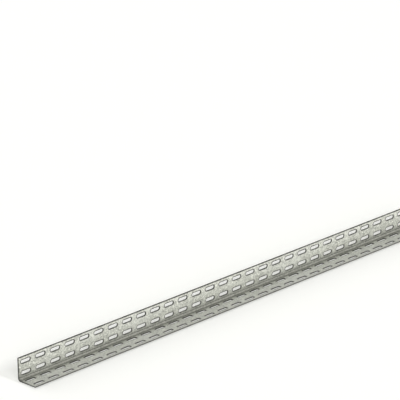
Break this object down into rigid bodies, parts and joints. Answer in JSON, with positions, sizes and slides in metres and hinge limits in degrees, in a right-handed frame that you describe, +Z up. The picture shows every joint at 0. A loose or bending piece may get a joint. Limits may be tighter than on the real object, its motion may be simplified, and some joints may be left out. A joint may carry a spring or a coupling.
{
  "type": "slotted angle bar",
  "caption": "Long L-shaped bar of thin galvanised steel with a rounded heel and rows of long round-ended bolt slots in both legs.",
  "frame": {"origin": "under the middle of the lying leg, at half the bar's length, on the plane that the bar rests on", "axes": "+X along the bar, +Y from the lying leg's free edge towards the upright leg's outer face, +Z up along the upright leg"},
  "size_m": [1.2, 0.05, 0.05],
  "materials": {
    "galvanised_steel": "matt zinc"
  },
  "bodies": {
    "root": {"angle_bar": "galvanised_steel"}
  },
  "joints": []
}
